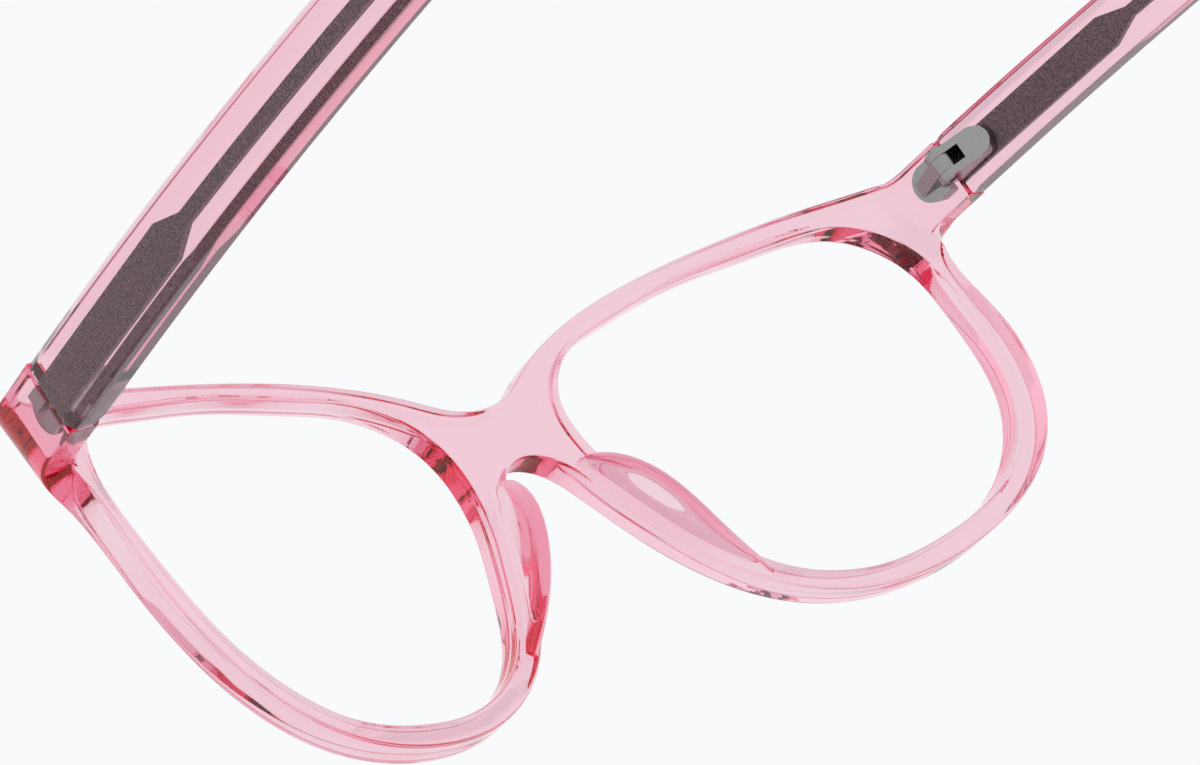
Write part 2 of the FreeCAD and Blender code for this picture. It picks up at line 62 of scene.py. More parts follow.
# Arm frame: where the temples start, and the way they splay.
ARM = np.array([64.3, 17.5])
ARM_Z = 12.9
SPLAY = math.radians(7.0)
ARM_X = np.array([math.cos(SPLAY), -math.sin(SPLAY)])
ARM_Y = np.array([math.sin(SPLAY), math.cos(SPLAY)])
TEMPLE_THICK = 3.6
TEMPLE_HALF = 3.65
TAB_TOP = ARM_Z + TEMPLE_HALF
TAB_UNDER = ARM_Z - TEMPLE_HALF

# Temples: arch, ear bend and inward bow.
ARCH_RADIUS = 800.0
BEND_START = 84.0
BEND_RADIUS = 30.0
BEND_ANGLE = math.radians(29.1)
TEMPLE_LONG = 145.0
WAIST_HALF = 3.0
TIP_HALF = 3.8
TIP_REACH = 3.4
BOW_START = 70.0
BOW_RADIUS = 560.0

OPENING = [
    (1.0, 0.17), (0.985, 0.56), (0.82, 0.87), (0.43, 0.985), (-0.05, 0.995), (-0.45, 0.92),
    (-0.8, 0.785), (-0.985, 0.53), (-0.985, 0.1), (-0.83, -0.32), (-0.6, -0.73), (-0.2, -0.975),
    (0.2, -0.985), (0.6, -0.85), (0.9, -0.46),
]
BROW = [
    (4.6, 9.9), (8.0, 11.7), (13.6, 14.2), (20.0, 16.1), (31.0, 17.8), (43.0, 18.3), (54.0, 17.8),
    (60.0, 17.1), (64.3, 16.7), (67.9, TAB_TOP),
]
JAW = [
    (70.2, 9.2), (68.2, 8.7), (66.5, 7.5), (65.3, 5.6), (64.7, 3.4), (64.3, 0.5), (63.4, -7.4),
    (60.8, -14.4), (55.6, -19.9), (48.0, -23.3), (39.4, -24.7), (31.0, -24.4), (23.6, -22.4),
    (17.8, -19.1), (13.0, -14.4), (9.2, -8.7), (6.0, -2.3), (4.2, 0.5), (2.2, 1.9),
]
PAD_ROUTE = [(6.1, 0.2), (7.0, -1.7), (10.2, -8.2), (13.9, -13.7), (18.4, -18.2)]

# Sheet coordinate along the front: x as far as SLIDE_FROM, stretched from there to the round
# corner between CORNER_IN and CORNER_OUT, then straight back to the joint at SHEET_END.
SLIDE_FROM = 61.6
CORNER_IN = 65.6
CORNER_OUT = 69.9
SHEET_END = 75.1
CORNER_RADIUS = 4.0
# The stretch grows from nothing at the lower of these heights to its full size at the upper.
SLIDE_LOW = -6.0
SLIDE_HIGH = 5.6
# Where the underside of an endpiece levels out.
TAB_FROM = 70.8
OUTER_ROUND = 0.35
OPENING_ROUND = 0.28
SUPPORT = 0.22

# Returns: the inner web of each endpiece and the fillet beneath it, in the arm frame.
RETURN_STRAIGHT = 4.8
RETURN_BLEND = 4.0
WEB_LEAVE = math.radians(52)
WEB_WIDE = 1.2
WEB_LONG = 8.6
WEB_ROUND = 0.3
FILLET = 2.6
FILLET_TURN = 84
FILLET_WIDE = 1.0
FILLET_OVERLAP = 0.06
FILLET_SHORT = 0.3
BLEND_REACH = 3.2
WALL_AHEAD = 7.9
# How far a merged mesh stays inside the faces of the sheet.
SHY = 0.03

# Nose pads: extra rise in the middle, rise at the ends, half width and its share at the
# ends, buried depth and sideways lean.
PAD_RISE = 4.4
PAD_END_RISE = 0.5
PAD_HALF = 1.4
PAD_END_WIDE = 0.45
PAD_BURIED = 1.1
PAD_LEAN = 0.4
# Share of the pad's route at which it is largest.
PAD_PEAK = 0.33

# Temples: section, relief of the inner face beside the joint, and the two ends.
TEMPLE_BEVEL = 0.75
TEMPLE_ROUND = 0.3
END_RELIEF = 0.7
END_RELIEF_LONG = 1.5
END_RELIEF_RUN = 1.4
END_FACE = 0.2
END_ROUND = 0.12
JOINT_STATIONS = [0.1, 0.3, 1.5, 2.0]
STATION_STEP = 2.0
TIP_TURNS = [12, 24, 36, 48, 58, 67, 75, 81]
# The last stations, over which the outer and inner faces close on each other at the tip.
TIP_STATIONS = 12
TIP_THIN = 1.1

# How far the rim of a lens reaches into the acetate.
LENS_REACH = 0.55

# Points on outlines and faces: spacing, lowest and highest rows, and least gap to a rim.
# They are closer together round the corner of the sheet.
OUTLINE_STEP = 0.75
CORNER_STEP = 0.8
COARSE_STEP = 1.5
FINE_STEP = 0.43
FINE_LEAD = 0.4
UP_STEP = 1.3
FRONT_LOW = -25.0
FRONT_HIGH = 19.0
FRONT_GAP = 0.35
LENS_STEP = 1.6
LENS_GAP = 0.8
PAD_STEP = 0.4
PAD_STATIONS = 40
PAD_AROUND = 24
ROUND_STEPS = 3
SAME_SPOT = 1e-5

# Depths that stand for the two faces of the sheet.
FRONT_FACE = 0.0
BACK_FACE = -1e-9

SHARP_ANGLE = math.radians(38)

# Looks: the two ends of each tone, the dye inside the acetate and the light around.
ACETATE_TONES = ((0.925, 0.930, 0.935, 1), (0.945, 0.948, 0.952, 1))
ACETATE_DYE = (0.944, 0.03, 0.30, 1)
ACETATE_DYE_DENSITY = 125.0
ACETATE_IOR = 1.49
LENS_TONES = ((0.995, 0.998, 1.0, 1), (1.0, 1.0, 0.997, 1))
# Low, because the coating takes away most of the reflection.
LENS_IOR = 1.06
HINGE_TONES = ((0.295, 0.293, 0.288, 1), (0.335, 0.333, 0.328, 1))
CORE_TONES = ((0.12, 0.095, 0.098, 1), (0.30, 0.245, 0.25, 1))
PAPER_TONES = ((0.875, 0.875, 0.885, 1), (0.89, 0.89, 0.90, 1))
SKY = (0.947, 0.956, 0.965, 1)

# Stage in metres.
FLOOR_HALF = 9.0
FLOOR_HEIGHT = -0.32
LAMP_SIZE = 1.2
LAMP_AIM = (0, 0, 0.02)
CAMERA_LENS = 130.21
CAMERA_PLACE = (0.31252, 0.19075, -0.08303)
CAMERA_TURN = (108.29, 32.753, 139.061)


# ---------------------------------------------------------------- curves and outlines

def spline(points, closed, step):
    """Evenly spaced points on the smooth cubic curve through these points."""
    spots = np.array(points, float)
    if closed:
        spots = np.vstack([spots, spots[:1]])
    gap = np.linalg.norm(np.diff(spots, axis=0), axis=1)
    slope = np.diff(spots, axis=0) / gap[:, None]
    count = len(spots)
    rows = np.zeros((count, count))
    right = np.zeros((count, spots.shape[1]))
    for i in range(1, count - 1):
        rows[i, i - 1:i + 2] = gap[i - 1], 2 * (gap[i - 1] + gap[i]), gap[i]
        right[i] = 6 * (slope[i] - slope[i - 1])
    if closed:
        rows[0, 0], rows[0, -1] = 1, -1
        rows[-1, 0], rows[-1, 1] = 2 * gap[0], gap[0]
        rows[-1, -2], rows[-1, -1] = gap[-1], 2 * gap[-1]
        right[-1] = 6 * (slope[0] - slope[-1])
    else:
        rows[0, 0] = rows[-1, -1] = 1
    bend = np.linalg.solve(rows, right)
    dense = []
    for i in range(count - 1):
        b = np.linspace(0, 1, 40, endpoint=i == count - 2)[:, None]
        a = 1 - b
        dense.append(a * spots[i] + b * spots[i + 1]
                     + ((a ** 3 - a) * bend[i] + (b ** 3 - b) * bend[i + 1]) * gap[i] ** 2 / 6)
    dense = np.vstack(dense)
    run = np.concatenate([[0], np.cumsum(np.linalg.norm(np.diff(dense, axis=0), axis=1))])
    pieces = max(2, round(run[-1] / step))
    at = np.linspace(0, run[-1], pieces + 1)
    if closed:
        at = at[:-1]
    return np.column_stack([np.interp(at, run, dense[:, k]) for k in range(dense.shape[1])])


def both_halves(points, middle):
    """Points mirrored across the middle of the front, from the wearer's right to the left."""
    return [(-x, z) for x, z in reversed(points)] + [(0.0, middle)] + points


def front_outline():
    """Outer boundary of the front in sheet coordinates, counter-clockwise."""
    top = spline(both_halves(BROW, BRIDGE_TOP), False, OUTLINE_STEP)
    under = spline(both_halves(JAW[::-1], BRIDGE_UNDER), False, OUTLINE_STEP)
    last = SHEET_END - CORNER_STEP
    top_run = np.append(np.linspace(BROW[-1][0], last, 14)[1:], SHEET_END)
    under_run = np.append(np.linspace(TAB_FROM, last, 7), SHEET_END)
    up_run = np.linspace(TAB_UNDER, TAB_TOP, 11)[1:-1]
    right_tab = [(s, TAB_UNDER) for s in under_run]
    right_tab += [(SHEET_END, z) for z in up_run]
    right_tab += [(s, TAB_TOP) for s in top_run[::-1]]
    left_tab = [(-s, z) for s, z in right_tab[::-1]]
    return np.vstack([under, right_tab, top[::-1], left_tab])


def opening_outline(side):
    """One lens opening, clockwise."""
    loop = spline([(LENS_CENTRE[0] + u * LENS_HALF[0], LENS_CENTRE[1] + v * LENS_HALF[1])
                   for u, v in OPENING], True, OUTLINE_STEP)
    loop[:, 0] *= side
    area = np.sum(loop[:, 0] * np.roll(loop[:, 1], -1) - loop[:, 1] * np.roll(loop[:, 0], -1))
    return loop[::-1] if area > 0 else loop


def inset(loop, margin):
    """The loop moved into the material, which lies on its left."""
    along = np.roll(loop, -1, axis=0) - loop
    along /= np.linalg.norm(along, axis=1)[:, None]
    normal = np.column_stack([-along[:, 1], along[:, 0]])
    before = np.roll(normal, 1, axis=0)
    middle = normal + before
    middle /= np.sum(middle * normal, axis=1)[:, None]
    return loop + middle * margin


def inside(points, loop):
    """Which points lie inside a closed loop."""
    x, z = points[:, 0][:, None], points[:, 1][:, None]
    x1, z1 = loop[:, 0], loop[:, 1]
    x2, z2 = np.roll(x1, -1), np.roll(z1, -1)
    rise = np.where(z2 == z1, 1, z2 - z1)
    crosses = ((z1 > z) != (z2 > z)) & (x < (x2 - x1) * (z - z1) / rise + x1)
    return np.sum(crosses, axis=1) % 2 == 1


# ---------------------------------------------------------------- the bent sheet of the front

def wall_point(radius, x, z):
    """Plan position on a leaning wall of the front, and the direction to its hub."""
    lean = math.cos(TILT)
    centre = HUB_Y - z * math.tan(TILT)
    y = centre - np.sqrt(radius ** 2 - x ** 2) / lean
    inward = np.column_stack([-x, (centre - y) * lean ** 2])
    inward /= np.linalg.norm(inward, axis=1)[:, None]
    return np.column_stack([x, y]), inward


def sheet_point(s, z, radius, side, corner):
    """Plan position of one face of the sheet: wall, round corner, then straight to the joint."""
    # Halving finds where the wall hands over to a corner that is tangent to the straight part.
    low = np.full(len(s), SLIDE_FROM)
    high = np.full(len(s), CORNER_OUT)
    for _ in range(40):
        middle = (low + high) / 2
        spot, inward = wall_point(radius, middle, z)
        beyond = (spot + inward * corner - ARM) @ ARM_X > side - corner
        low, high = np.where(beyond, low, middle), np.where(beyond, middle, high)
    spot, inward = wall_point(radius, low, z)
    hub = spot + inward * corner
    tab = np.clip((z - SLIDE_LOW) / (SLIDE_HIGH - SLIDE_LOW), 0, 1)
    leave = CORNER_IN + (low - CORNER_IN) * tab * tab * (3 - 2 * tab)
    slid = SLIDE_FROM + (s - SLIDE_FROM) * (leave - SLIDE_FROM) / (CORNER_IN - SLIDE_FROM)
    on_wall, _ = wall_point(radius, np.where(s < SLIDE_FROM, s, np.minimum(slid, leave)), z)
    first = np.arctan2(-inward[:, 1], -inward[:, 0])
    last = math.atan2(ARM_X[1], ARM_X[0])
    share = np.clip((s - CORNER_IN) / (CORNER_OUT - CORNER_IN), 0, 1)
    turn = first + (last - first) * share
    on_corner = hub + corner * np.column_stack([np.cos(turn), np.sin(turn)])
    joint = ARM + ARM_X * side
    rest = np.clip((s - CORNER_OUT) / (SHEET_END - CORNER_OUT), 0, 1)[:, None]
    on_side = on_corner + (joint - on_corner) * rest
    place = np.where((s > CORNER_OUT)[:, None], on_side, on_corner)
    return np.where((s > CORNER_IN)[:, None], place, on_wall)


def sheet_place(flat, depth):
    """Points of the sheet at this depth behind its front face.

    A negative depth is measured forwards from the back face."""
    side = np.sign(flat[:, 0])
    s, z = np.abs(flat[:, 0]), flat[:, 1]
    outer = sheet_point(s, z, WRAP_RADIUS + FRONT_THICK, TEMPLE_THICK, CORNER_RADIUS)
    inner = sheet_point(s, z, WRAP_RADIUS, TEMPLE_THICK - FRONT_THICK, CORNER_RADIUS - FRONT_THICK)
    through = inner - outer
    thick = np.linalg.norm(through, axis=1)[:, None]
    share = depth / thick if depth >= 0 else 1 + depth / thick
    plan = outer + through * share
    return np.column_stack([plan[:, 0] * np.where(side < 0, -1, 1), plan[:, 1], z])


def edge_rings(radius, steps):
    """Inset and depth of each ring round an edge, from the front face to the back face."""
    quarter = [math.radians(90 * k / steps) for k in range(steps + 1)]
    front_side = [(radius * (1 - math.cos(a)), radius * (1 - math.sin(a))) for a in quarter[::-1]]
    rings = [(radius + SUPPORT, FRONT_FACE)] + front_side
    return rings + [(margin, min(-depth, BACK_FACE)) for margin, depth in rings[::-1]]


# ---------------------------------------------------------------- meshes from rows and rims

def between(points, rims):
    """Which points lie inside the first rim and outside all the others."""
    keep = inside(points, rims[0])
    for hole in rims[1:]:
        keep &= ~inside(points, hole)
    return keep


def filled(rims, grid, gap):
    """Triangles between rims, through the grid points that keep this gap to every rim.

    Gives the points, the triangles and the place of each rim point among the points."""
    rim = np.vstack(rims)
    near = np.array([np.min(np.sum((rim - spot) ** 2, axis=1)) for spot in grid])
    grid = grid[between(grid, rims) & (near > gap ** 2)]
    edges = []
    start = 0
    for loop in rims:
        count = len(loop)
        edges += [(start + i, start + (i + 1) % count) for i in range(count)]
        start += count
    spots = [Vector(spot) for spot in np.vstack([rim, grid])]
    found = delaunay_2d_cdt(spots, edges, [], 0, SAME_SPOT)
    flat = np.array([tuple(spot) for spot in found[0]])
    triangles = np.array([face[:3] for face in found[2]])
    triangles = triangles[between(flat[triangles].mean(axis=1), rims)]
    went = {old: new for new, olds in enumerate(found[3]) for old in olds}
    return flat, triangles, went


def two_faces(mesh, ahead, behind, triangles):
    """Add the front and back faces of a sheet, and give the points of each."""
    sides = [[mesh.verts.new(place) for place in places] for places in (ahead, behind)]
    for a, b, c in triangles:
        mesh.faces.new([sides[0][i] for i in (a, b, c)])
        mesh.faces.new([sides[1][i] for i in (c, b, a)])
    return sides


def edge_bands(mesh, rows):
    """Faces across the edge of a sheet, between neighbouring closed rows of points."""
    for upper, lower in zip(rows, rows[1:]):
        for k in range(len(upper)):
            m = (k + 1) % len(upper)
            mesh.faces.new((upper[k], lower[k], lower[m], upper[m]))


def lofted(rows):
    """Closed mesh through closed rows of places, with a cap at each end."""
    mesh = bmesh.new()
    rows = [[mesh.verts.new(place) for place in row] for row in rows]
    for before, after in zip(rows, rows[1:]):
        for k in range(len(before)):
            m = (k + 1) % len(before)
            mesh.faces.new((before[k], before[m], after[m], after[k]))
    mesh.faces.new(rows[0])
    mesh.faces.new(rows[-1][::-1])
    bmesh.ops.recalc_face_normals(mesh, faces=mesh.faces)
    return mesh


def arm_plan(x, y):
    """Plan position of a point of the arm frame."""
    return ARM + ARM_X * x + ARM_Y * y


# ---------------------------------------------------------------- front, pads and lenses

def front_grid():
    """Points inside the faces of the front, in sheet coordinates."""
    coarse = np.arange(0, CORNER_IN - CORNER_STEP, COARSE_STEP)
    fine = np.arange(CORNER_IN - FINE_LEAD, SHEET_END, FINE_STEP)
    across = np.concatenate([-fine[::-1], -coarse[:0:-1], coarse, fine])
    up = np.arange(FRONT_LOW, FRONT_HIGH, UP_STEP)
    return np.array([(s, z) for s in across for z in up])


def front_mesh():
    """Closed mesh of the front: two curved faces with holes, joined by rounded edges."""
    loops = [
        (front_outline(), OUTER_ROUND),
        (opening_outline(1), OPENING_ROUND),
        (opening_outline(-1), OPENING_ROUND),
    ]
    rims = [inset(loop, radius + SUPPORT) for loop, radius in loops]
    flat, triangles, went = filled(rims, front_grid(), FRONT_GAP)
    mesh = bmesh.new()
    ahead, behind = sheet_place(flat, FRONT_FACE), sheet_place(flat, BACK_FACE)
    sides = two_faces(mesh, ahead, behind, triangles)
    start = 0
    for loop, radius in loops:
        own = [went[start + i] for i in range(len(loop))]
        start += len(loop)
        rows = [[sides[0][i] for i in own]]
        for margin, depth in edge_rings(radius, ROUND_STEPS)[1:-1]:
            rows.append([mesh.verts.new(p) for p in sheet_place(inset(loop, margin), depth)])
        rows.append([sides[1][i] for i in own])
        edge_bands(mesh, rows)
    bmesh.ops.recalc_face_normals(mesh, faces=mesh.faces)
    return mesh


def web_mesh(side):
    """Inner part of an endpiece's return, which curves into the back of the front."""
    arc = [(-RETURN_BLEND + RETURN_BLEND * math.cos(a), -RETURN_STRAIGHT - RETURN_BLEND * math.sin(a))
           for a in np.linspace(0, WEB_LEAVE, 12)]
    outer = [(WEB_WIDE, -7.0), (WEB_WIDE, -3.5), (WEB_WIDE, -SHY), (0.5, -SHY)]
    inner = [(0.0, -SHY), (0.0, -1.6), (0.0, -3.2)]
    buried = [(arc[-1][0], -WEB_LONG), (-0.3, -WEB_LONG)]
    loop = np.array(outer + inner + arc + buried)
    rows = []
    for margin, depth in edge_rings(WEB_ROUND, ROUND_STEPS)[1:-1]:
        height = TAB_TOP - SHY - depth if depth >= 0 else TAB_UNDER + SHY - depth
        plan = [arm_plan(x, y) for x, y in inset(loop, margin)]
        rows.append([(x * side, y, height) for x, y in plan])
    return lofted(rows)


def blend_x(y):
    """Inner face of a return at this place along the arm frame, ahead of its straight part."""
    past = min(-RETURN_STRAIGHT - y, BLEND_REACH)
    return -RETURN_BLEND + math.sqrt(RETURN_BLEND ** 2 - past ** 2)


def gusset_mesh(side):
    """Concave fillet between the underside of a return and the back of the rim."""
    rows = []
    for turn in np.radians(np.linspace(0, FILLET_TURN, 12)):
        height = TAB_UNDER + FILLET_OVERLAP - FILLET * (1 - math.cos(turn))
        behind = FILLET * (1 - math.sin(turn))
        wall = -WALL_AHEAD - (height - ARM_Z) * math.tan(TILT)
        far = min(wall + behind, -RETURN_STRAIGHT - FILLET_SHORT)
        inner = [(blend_x(y), y) for y in np.linspace(wall - 0.7, far, 8)]
        outline = [(FILLET_WIDE, wall - 0.5), (FILLET_WIDE, far)] + inner[::-1]
        plan = [arm_plan(x, y) for x, y in outline]
        rows.append([(x * side, y, height) for x, y in plan])
    return lofted(rows)


def lens_hub(side):
    """Middle of the two balls that the faces of a lens lie on."""
    centre = np.array([LENS_CENTRE[0] * side, 0.0, LENS_CENTRE[1]])
    axis = np.array([0.0, -math.sin(TILT), math.cos(TILT)])
    hub = np.array([0.0, HUB_Y, 0.0])
    hub += axis * ((centre - hub) @ axis)
    outward = (centre - hub) / np.linalg.norm(centre - hub)
    return hub + outward * (LENS_AHEAD + (FRONT_THICK - LENS_THICK) / 2)


def lens_mesh(side):
    """Meniscus lens whose rim reaches into the acetate."""
    loop = inset(opening_outline(side)[::2], LENS_REACH)
    hub = lens_hub(side)
    x_run = np.arange(-LENS_HALF[0], LENS_HALF[0] + 1, LENS_STEP) + LENS_CENTRE[0] * side
    z_run = np.arange(-LENS_HALF[1], LENS_HALF[1] + 1, LENS_STEP) + LENS_CENTRE[1]
    grid = np.array([(x, z) for x in x_run for z in z_run])
    flat, triangles, went = filled([loop], grid, LENS_GAP)
    far = (flat[:, 0] - hub[0]) ** 2 + (flat[:, 1] - hub[2]) ** 2
    faces = []
    for radius in (WRAP_RADIUS + LENS_THICK, WRAP_RADIUS):
        depth = hub[1] - np.sqrt(radius ** 2 - far)
        faces.append(np.column_stack([flat[:, 0], depth, flat[:, 1]]))
    mesh = bmesh.new()
    sides = two_faces(mesh, *faces, triangles)
    edge_bands(mesh, [[face[went[i]] for i in range(len(loop))] for face in sides])
    bmesh.ops.recalc_face_normals(mesh, faces=mesh.faces)
    return mesh


def pad_row(spot, way, share):
    """Outline of a nose pad where it crosses this spot of its route, at this share of it."""
    swell = abs(math.sin(math.pi * share ** (math.log(0.5) / math.log(PAD_PEAK))))
    half_wide = PAD_HALF * (PAD_END_WIDE + (1 - PAD_END_WIDE) * swell)
    rise = PAD_RISE * swell + PAD_END_RISE
    back = wall_point(WRAP_RADIUS, spot[:1], spot[1])[0][0, 1]
    row = []
    for k in range(PAD_AROUND):
        turn = 2 * math.pi * k / PAD_AROUND
        up = math.sin(turn)
        wide = half_wide * math.cos(turn) * (1 if up >= 0 else 0.6 + 0.4 * (1 + up))
        move = wide + PAD_LEAN * swell * max(up, 0)
        depth = rise * up if up > 0 else PAD_BURIED * up
        row.append((spot[0] - way[1] * move, back + depth, spot[1] + way[0] * move))
    return row


def pad_mesh(side):
    """Crescent that rises from the back of the rim beside the nose."""
    route = spline(PAD_ROUTE, False, PAD_STEP)
    at = np.linspace(0, len(route) - 1, PAD_STATIONS)
    spots = np.column_stack([np.interp(at, np.arange(len(route)), route[:, k]) for k in (0, 1)])
    along = np.gradient(spots, axis=0)
    along /= np.linalg.norm(along, axis=1)[:, None]
    rows = []
    for i, (spot, way) in enumerate(zip(spots, along)):
        row = pad_row(spot, way, i / (PAD_STATIONS - 1))
        rows.append([(x * side, y, z) for x, y, z in row])
    return lofted(rows)


# ---------------------------------------------------------------- temples

def temple_line():
    """Stations down a temple: centre in side view, upward direction and half height."""
    line = []
    for y in np.concatenate([JOINT_STATIONS, np.arange(4, BEND_START, STATION_STEP)]):
        grow = max(0.0, y) / BEND_START
        half = TEMPLE_HALF + (WAIST_HALF - TEMPLE_HALF) * grow ** 1.2
        slope = y / ARCH_RADIUS
        line.append(((y, -y * y / (2 * ARCH_RADIUS)), slope, half))
    lead = BEND_START / ARCH_RADIUS
    start = np.array([BEND_START, -BEND_START ** 2 / (2 * ARCH_RADIUS)])
    hub = start - BEND_RADIUS * np.array([math.sin(lead), math.cos(lead)])
    for turn in np.linspace(0, BEND_ANGLE, 14):
        out = np.array([math.sin(lead + turn), math.cos(lead + turn)])
        line.append((tuple(hub + out * BEND_RADIUS), lead + turn, WAIST_HALF))
    slope = lead + BEND_ANGLE
    way = np.array([math.cos(slope), -math.sin(slope)])
    bent = np.array(line[-1][0])
    straight = TEMPLE_LONG - BEND_START - BEND_RADIUS * BEND_ANGLE - TIP_REACH
    for share in np.linspace(0, 1, 18)[1:]:
        half = WAIST_HALF + (TIP_HALF - WAIST_HALF) * share
        line.append((tuple(bent + way * straight * share), slope, half))
    tip = bent + way * straight
    for turn in np.radians(TIP_TURNS):
        line.append((tuple(tip + way * TIP_REACH * math.sin(turn)), slope, TIP_HALF * math.cos(turn)))
    return line


def bow(y):
    """How far the temple has bowed inwards this far from the joint."""
    past = max(0.0, y - BOW_START)
    return BOW_RADIUS - math.sqrt(BOW_RADIUS ** 2 - past ** 2)


def rounded(corners, steps):
    """Closed polygon with each corner replaced by an arc of its own radius."""
    points = []
    count = len(corners)
    for i, (x, z, radius) in enumerate(corners):
        here = np.array([x, z])
        back = np.array(corners[i - 1][:2]) - here
        ahead = np.array(corners[(i + 1) % count][:2]) - here
        back /= np.linalg.norm(back)
        ahead /= np.linalg.norm(ahead)
        half = math.acos(np.clip(back @ ahead, -1, 1)) / 2
        hub = here + (back + ahead) / np.linalg.norm(back + ahead) * radius / math.sin(half)
        first = here + back * radius / math.tan(half) - hub
        last = here + ahead * radius / math.tan(half) - hub
        span = math.pi - 2 * half
        for k in range(steps + 1):
            share = k / steps
            mix = (math.sin((1 - share) * span) * first + math.sin(share * span) * last) / math.sin(span)
            points.append(hub + mix)
    return points


def temple_section(half, inner, thin):
    """Cross-section: flat inside, bevelled outside."""
    bevel = min(TEMPLE_BEVEL, half * 0.5)
    outer = TEMPLE_THICK - thin
    inner = inner + thin
    small = min(TEMPLE_ROUND, half * 0.3)
    return rounded([
        (inner, -half, small), (outer - bevel, -half, small), (outer, bevel - half, small),
        (outer, half - bevel, small), (outer - bevel, half, small), (inner, half, small),
    ], ROUND_STEPS)


def temple_mesh(side):
    """Swept temple whose acetate closes on the metal core."""
    stations = temple_line()
    rows = []
    for i, ((y, z), slope, half) in enumerate(stations):
        inner = END_RELIEF * max(0.0, END_RELIEF_LONG - y) / END_RELIEF_RUN
        shrink = END_ROUND if y < END_FACE else 0.0
        thin = shrink
        if i >= len(stations) - TIP_STATIONS:
            thin = TIP_THIN * (1 - half / TIP_HALF) ** 2
        row = []
        for x, v in temple_section(half - shrink, inner, thin):
            along = y + v * math.sin(slope)
            height = z + v * math.cos(slope)
            plan = arm_plan(x - bow(along), along)
            row.append((plan[0] * side, plan[1], ARM_Z + height))
        rows.append(row)
    return lofted(rows)


# ---------------------------------------------------------------- objects

def as_object(name, mesh):
    """Blender object in the part's frame from a mesh in millimetres about the datum."""
    for vert in mesh.verts:
        vert.co = (vert.co + Vector(DATUM)) * MM
    data = bpy.data.meshes.new(name)
    mesh.to_mesh(data)
    mesh.free()
    item = bpy.data.objects.new(name, data)
    bpy.context.scene.collection.objects.link(item)
    return item


def apply_modifiers(item):
    """Replace the object's mesh by what its modifiers make of it."""
    bpy.context.view_layer.update()
    view = item.evaluated_get(bpy.context.evaluated_depsgraph_get())
    data = bpy.data.meshes.new_from_object(view)
    item.modifiers.clear()
    item.data = data


def finished(item):
    """Shade the object smooth up to its real edges, with normals weighted by face area."""
    weights = item.modifiers.new("weights", "WEIGHTED_NORMAL")
    weights.keep_sharp = True
    item.data.shade_smooth()
    item.data.set_sharp_from_angle(angle=SHARP_ANGLE)
    apply_modifiers(item)
    return item


def joined(base, tools):
    """Exact union of a mesh with others, which are then removed."""
    for tool in tools:
        step = base.modifiers.new("join", "BOOLEAN")
        step.operation = "UNION"
        step.solver = "EXACT"
        step.object = tool
    apply_modifiers(base)
    for tool in tools:
        bpy.data.objects.remove(tool)
    return base


# ---------------------------------------------------------------- materials

def new_material(name):
    """Material with an empty node tree, its output and one Principled shader."""
    made = bpy.data.materials.new(name)
    made.use_nodes = True
    tree = made.node_tree
    tree.nodes.clear()
    output = tree.nodes.new("ShaderNodeOutputMaterial")
    shader = tree.nodes.new("ShaderNodeBsdfPrincipled")
    tree.links.new(shader.outputs[0], output.inputs["Surface"])
    return made, tree, shader, output


def noise(tree, scale, detail):
    """Noise over the object's own coordinates, in features per metre."""
    where = tree.nodes.new("ShaderNodeTexCoord")
    made = tree.nodes.new("ShaderNodeTexNoise")
    made.inputs["Scale"].default_value = scale
    made.inputs["Detail"].default_value = detail
    tree.links.new(where.outputs["Object"], made.inputs["Vector"])
    return made.outputs["Fac"]


def ramp(tree, value, low, high, start=0.3, end=0.7):
    """Colour or number ramp between two ends."""
    made = tree.nodes.new("ShaderNodeValToRGB")
    for stop, place, tone in zip(made.color_ramp.elements, (start, end), (low, high)):
        stop.position = place
        stop.color = tone if isinstance(tone, tuple) else (tone, tone, tone, 1)
    tree.links.new(value, made.inputs["Fac"])
    return made.outputs["Color"]


def bump(tree, height, distance, strength, below=None):
    """Bump of this height, on top of the bump below if there is one."""
    made = tree.nodes.new("ShaderNodeBump")
    made.inputs["Distance"].default_value = distance
    made.inputs["Strength"].default_value = strength
    tree.links.new(height, made.inputs["Height"])
    if below is not None:
        tree.links.new(below, made.inputs["Normal"])
    return made.outputs["Normal"]


def acetate_material():
    """Clear pink acetate: polished, with a faint waviness and fine wear."""
    made, tree, shader, output = new_material("pink_acetate")
    shader.inputs["Transmission Weight"].default_value = 1.0
    shader.inputs["IOR"].default_value = ACETATE_IOR
    tone = ramp(tree, noise(tree, scale=60.0, detail=2.0), *ACETATE_TONES)
    tree.links.new(tone, shader.inputs["Base Color"])
    wear = ramp(tree, noise(tree, scale=2600.0, detail=4.0), 0.0, 0.012, start=0.5, end=0.85)
    tree.links.new(wear, shader.inputs["Roughness"])
    wave = bump(tree, noise(tree, scale=140.0, detail=1.0), distance=0.0002, strength=0.06)
    tree.links.new(wave, shader.inputs["Normal"])
    dye = tree.nodes.new("ShaderNodeVolumeAbsorption")
    dye.inputs["Color"].default_value = ACETATE_DYE
    dye.inputs["Density"].default_value = ACETATE_DYE_DENSITY
    tree.links.new(dye.outputs[0], output.inputs["Volume"])
    return made


